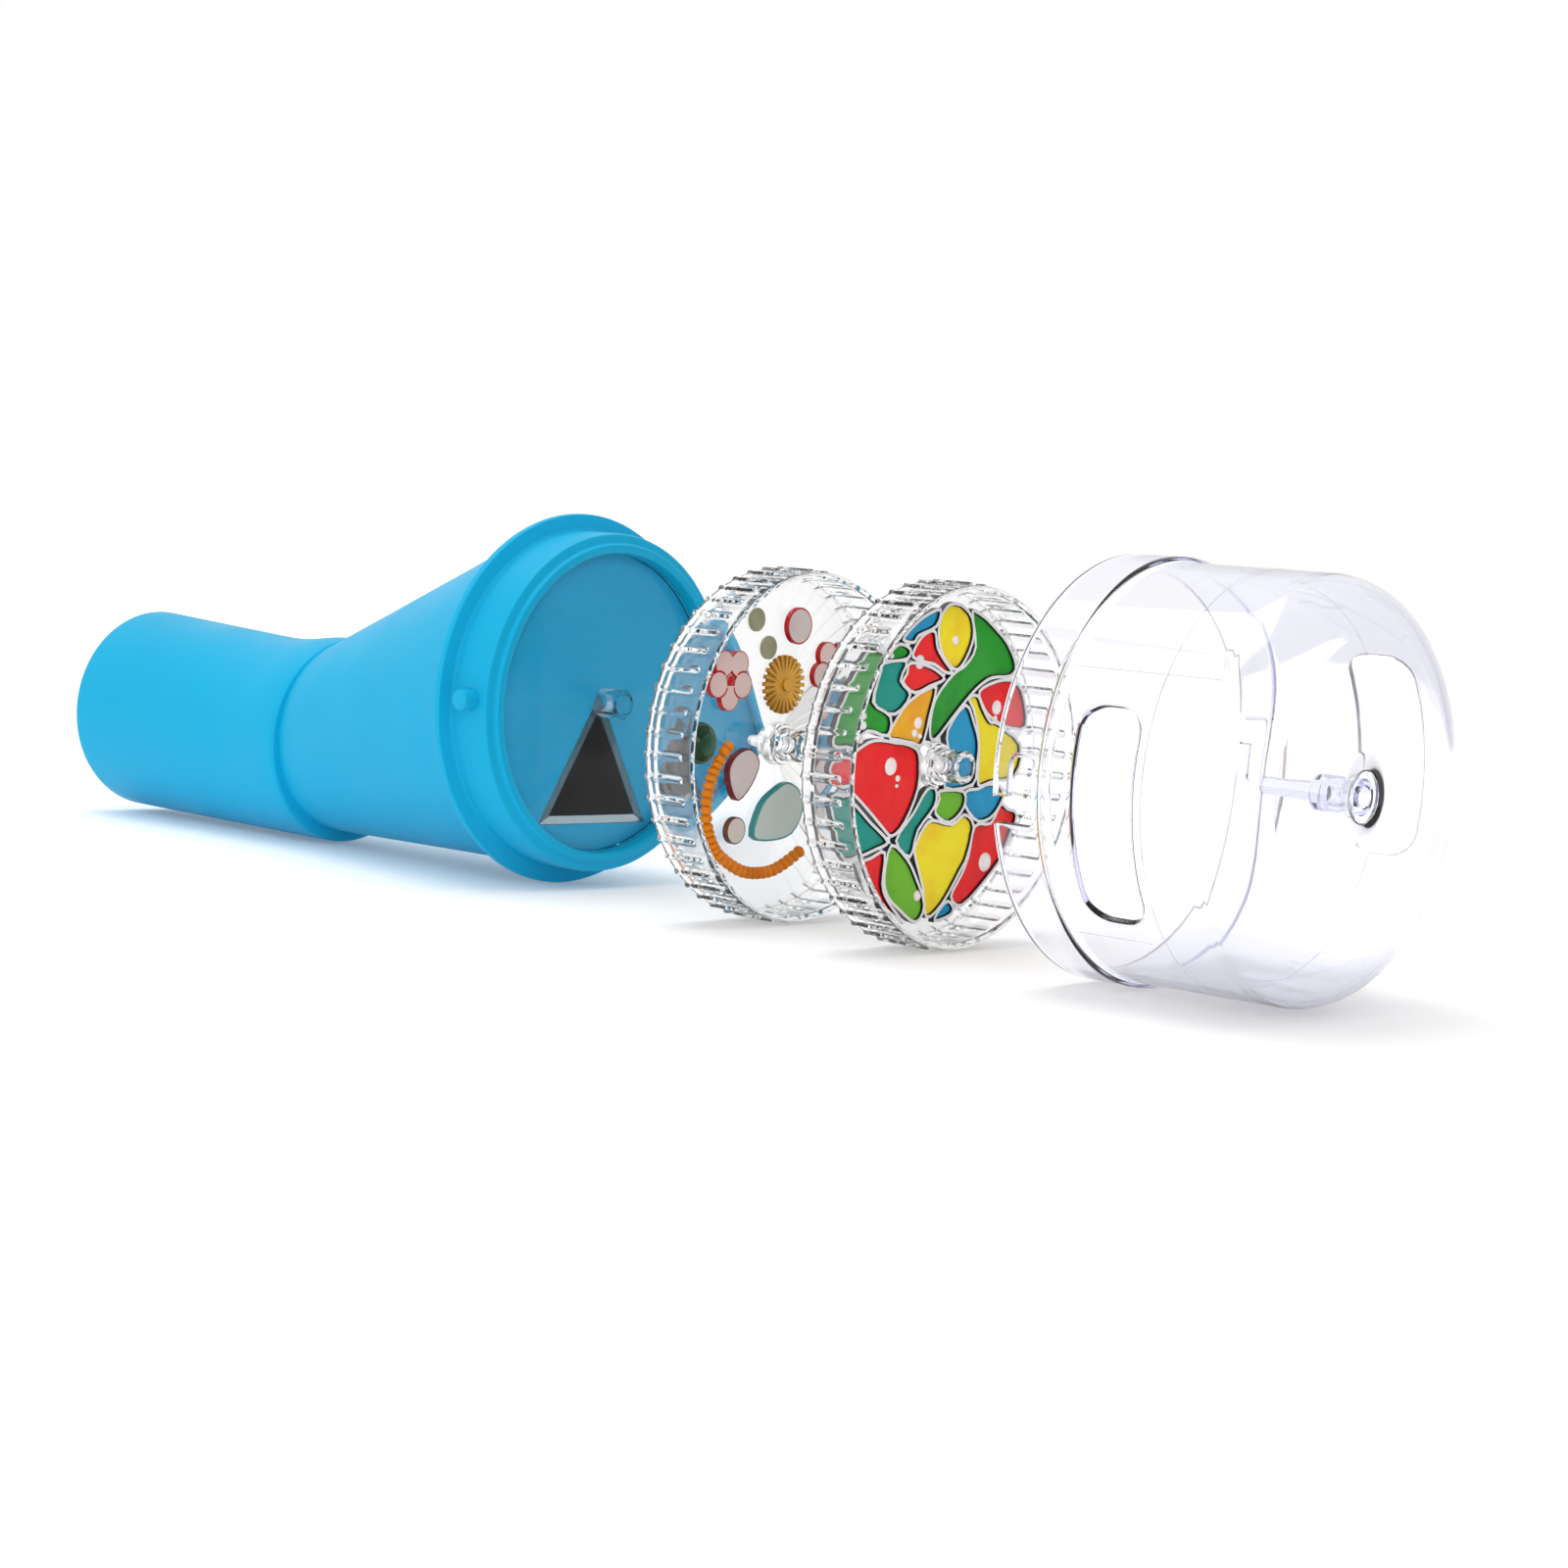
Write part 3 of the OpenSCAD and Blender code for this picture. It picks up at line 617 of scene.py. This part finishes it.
def cut_distance(along, angle, cut, radius):
    """Distance along the wall to a cut with rounded corners, negative inside it."""
    near, far, first, last = cut
    turn = (angle - (first + last) / 2 + 180) % 360 - 180
    u = radians(abs(turn)) * CAP_R - (radians((last - first) / 2) * CAP_R - radius)
    v = abs(along - (near + far) / 2) - ((far - near) / 2 - radius)
    return min(max(u, v), 0) + sqrt(max(u, 0) ** 2 + max(v, 0) ** 2) - radius


def hole_distance(point):
    """Distance from a point of the cap's wall to the nearest window or slot."""
    along = point[0] - CAP_X
    angle = degrees(atan2(point[2] - BODY_Z, point[1]))
    return min(cut_distance(along, angle, cut, radius) for cut, radius in CAP_CUTS)


def slide_to_hole(vert, probe=0.02, passes=3, least_slope=0.1):
    """Moves a vertex along the wall onto the edge of the nearest window or slot."""
    for _ in range(passes):
        start = vert.co.copy()
        here = hole_distance(start)
        r = sqrt(start[1] ** 2 + (start[2] - BODY_Z) ** 2)
        angle = atan2(start[2] - BODY_Z, start[1])

        def moved(along, around):
            t = angle + around / r
            return Vector((start[0] + along, r * cos(t), BODY_Z + r * sin(t)))
        slope_along = (hole_distance(moved(probe, 0)) - here) / probe
        slope_around = (hole_distance(moved(0, probe)) - here) / probe
        steepness = slope_along * slope_along + slope_around * slope_around
        if steepness < least_slope:
            break
        vert.co = moved(-here * slope_along / steepness, -here * slope_around / steepness)


def build_cap():
    """The cap's outer surface with its holes cut out, thickened inwards."""
    bm = bmesh.new()
    rows = [ring_points(CAP_X + along, BODY_Z, r, CAP_CORNERS) for along, r in cap_outline()]
    skin(bm, rows)
    edge = 0.01
    middles = [(face, face.calc_center_median()) for face in bm.faces]
    doomed = [face for face, middle in middles
              if middle[0] - CAP_X < SIDE_END + edge and hole_distance(middle) < 0]
    bmesh.ops.delete(bm, geom=doomed, context="FACES")
    for vert in bm.verts:
        if vert.is_boundary and edge <= vert.co[0] - CAP_X <= SIDE_END + edge:
            slide_to_hole(vert)
    bmesh.ops.recalc_face_normals(bm, faces=bm.faces)
    piece = finish_piece("cap_shell", bm, CLEAR, "lid", ("cap",), sharp=60)
    shell = piece.modifiers.new("wall", "SOLIDIFY")
    shell.thickness = CAP_WALL * MM
    shell.offset = -1
    add_bevel(piece, 0.2, 2, 50)


# Mould lines on the cap: angle and ends of the straight ones, and how far along the ring lies
STRAIGHT_LINES = ((226, 12, 30), (150, 12, 46))
RING_LINE = 33.5
# Half width in millimetres round the ring and in degrees beside the straight ones; rise and root
LINE_HALF = 0.12
LINE_HALF_TURN = 0.16
LINE_RISE = 0.06
LINE_ROOT = 0.1


def line_section(half):
    """Corners of a mould line's section: distance to the side and radius."""
    return [(-half, CAP_R), (0, CAP_R + LINE_RISE), (half, CAP_R), (0, CAP_R - LINE_ROOT)]


def build_mould_lines():
    bm = bmesh.new()
    lathe(bm, line_section(LINE_HALF), CAP_X + RING_LINE, BODY_Z)
    for angle, near, far in STRAIGHT_LINES:
        corners = [(radians(angle + aside), r) for aside, r in line_section(LINE_HALF_TURN)]
        rows = [[(CAP_X + along, r * cos(t), BODY_Z + r * sin(t)) for t, r in corners]
                for along in (near, far)]
        for ring in skin(bm, rows):
            bm.faces.new(ring)
    finish_piece("cap_mould_lines", bm, LINE_CLEAR, "lid", sharp=20)


def build_pin():
    """The stepped pin, hollow from the closed end, with its head in the cap's hole."""
    head = CAP_LEN - 0.85
    outline = [(34.3, 0), (34.3, 1.45), (34.5, 1.65), (44.5, 2.05), (44.5, 3.4), (44.7, 3.6), (head, 3.6),
               (head, 5.0), (head + 0.15, 5.2), (head + 0.65, 5.2), (head + 0.8, 5.05),
               (head + 0.8, 2.3), (head + 0.6, 2.1), (48, 1.9), (48, 0)]
    lathed("axle_pin_turned", outline, CAP_X, BODY_Z, CLEAR, "pin", ("axle_pin",), HUB_ROUND)


# ------------------------------------------------------- camera, floor, lights

VIEW_AZIMUTH = radians(41.3)
VIEW_ELEVATION = radians(3.65)
VIEW_ROLL = radians(4.13)
VIEW_DISTANCE = 710.8
# The camera looks at this distance in front of the flange, at this height
VIEW_AHEAD = 60
VIEW_HEIGHT = 40
LENS = 74.03
SHIFT = (0.0108, -0.0302)


def place_camera():
    target = Vector((FLANGE_X + VIEW_AHEAD, 0, VIEW_HEIGHT))
    away = Vector((sin(VIEW_AZIMUTH) * cos(VIEW_ELEVATION), -cos(VIEW_AZIMUTH) * cos(VIEW_ELEVATION),
                   sin(VIEW_ELEVATION)))
    side = (-away).cross(Vector((0, 0, 1))).normalized()
    up = side.cross(-away)
    right = side * cos(VIEW_ROLL) + up * sin(VIEW_ROLL)
    top = up * cos(VIEW_ROLL) - side * sin(VIEW_ROLL)
    data = bpy.data.cameras.new("camera")
    data.sensor_width = 36
    data.lens = LENS
    data.shift_x, data.shift_y = SHIFT
    data.clip_start = 0.01
    camera = bpy.data.objects.new("camera", data)
    bpy.context.scene.collection.objects.link(camera)
    turn = Matrix((right, top, away)).transposed().to_4x4()
    camera.matrix_world = Matrix.Translation((target + away * VIEW_DISTANCE) * MM) @ turn
    bpy.context.scene.camera = camera


# Half the floor's side in metres, its drop below the object, and its glow: where it starts and
# ends to rise, in metres from the middle, and how strong it is there
FLOOR_HALF = 3
FLOOR_DROP = 0.0001
FLOOR_GLOW = (("From Min", 0.3), ("From Max", 1.2), ("To Min", 0.14), ("To Max", 0.5))


def build_floor():
    bm = bmesh.new()
    bmesh.ops.create_grid(bm, x_segments=2, y_segments=2, size=FLOOR_HALF)
    mesh = bpy.data.meshes.new("floor")
    bm.to_mesh(mesh)
    bm.free()
    mat = shader("floor", (0.92, 0.92, 0.92), 0.6, Specular_IOR_Level=0.1, Emission_Color=(1, 1, 1, 1))
    add_bump(mat, 0.4, 0.02, 0.05)
    # The floor brightens away from the row, like a paper sweep that is lit from below
    nodes, links = mat.node_tree.nodes, mat.node_tree.links
    coords = nodes.new("ShaderNodeTexCoord")
    away = nodes.new("ShaderNodeVectorMath")
    away.operation = "LENGTH"
    glow = nodes.new("ShaderNodeMapRange")
    for key, value in FLOOR_GLOW:
        glow.inputs[key].default_value = value
    links.new(coords.outputs["Object"], away.inputs[0])
    links.new(away.outputs["Value"], glow.inputs["Value"])
    links.new(glow.outputs["Result"], nodes["Principled BSDF"].inputs["Emission Strength"])
    mesh.materials.append(mat)
    floor_plane = bpy.data.objects.new("floor", mesh)
    floor_plane.location.z = CAD_BOX[0][2] - FLOOR_DROP
    bpy.context.scene.collection.objects.link(floor_plane)


# Soft boxes: place and size in metres, and power in watts
SOFT_BOXES = {
    "top": ((-0.1, -0.1, 0.9), (0.8, 0.6), 3.2),
    "front_left": ((-0.4, -1.0, 0.5), (0.5, 0.5), 0.3),
    "front_right": ((0.9, -0.9, 0.5), (0.3, 0.6), 3.6),
}
LIGHT_AIM = Vector((0, 0, 0.04))


def area_light(name, place, size, power):
    data = bpy.data.lights.new(name, "AREA")
    data.shape = "RECTANGLE"
    data.size, data.size_y = size
    data.energy = power
    light = bpy.data.objects.new(name, data)
    light.location = place
    light.rotation_euler = (Vector(place) - LIGHT_AIM).to_track_quat("Z", "Y").to_euler()
    bpy.context.scene.collection.objects.link(light)


# The sweep of the background: the direction of its white side, the share of that direction at
# which it starts to grey, and the places and values of its two tones
SWEEP_SIDE = (-1, 0, 0.1)
SWEEP_START = -0.6
SWEEP_TONES = ((0.05, 0.6), (0.6, 1.0))


def build_world():
    """A white background that falls off towards the cap's end of the row."""
    world = bpy.data.worlds.new("studio")
    world.use_nodes = True
    nodes, links = world.node_tree.nodes, world.node_tree.links
    coords = nodes.new("ShaderNodeTexCoord")
    facing = nodes.new("ShaderNodeVectorMath")
    facing.operation = "DOT_PRODUCT"
    facing.inputs[1].default_value = SWEEP_SIDE
    sweep = nodes.new("ShaderNodeValToRGB")
    for stop, (place, value) in zip(sweep.color_ramp.elements, SWEEP_TONES):
        stop.position = place
        stop.color = (value, value, value, 1)
    links.new(coords.outputs["Generated"], facing.inputs[0])
    ahead = nodes.new("ShaderNodeMapRange")
    ahead.inputs["From Min"].default_value = SWEEP_START
    links.new(facing.outputs["Value"], ahead.inputs["Value"])
    links.new(ahead.outputs["Result"], sweep.inputs["Fac"])
    links.new(sweep.outputs["Color"], nodes["Background"].inputs["Color"])
    nodes["Background"].inputs["Strength"].default_value = 1.0
    bpy.context.scene.world = world
    bpy.context.scene.view_settings.view_transform = "Standard"


place_camera()
build_floor()
build_world()
for light_name, (light_place, light_size, light_power) in SOFT_BOXES.items():
    area_light(light_name, light_place, light_size, light_power)
build_body()
build_wheels()
build_cap()
build_mould_lines()
build_pin()
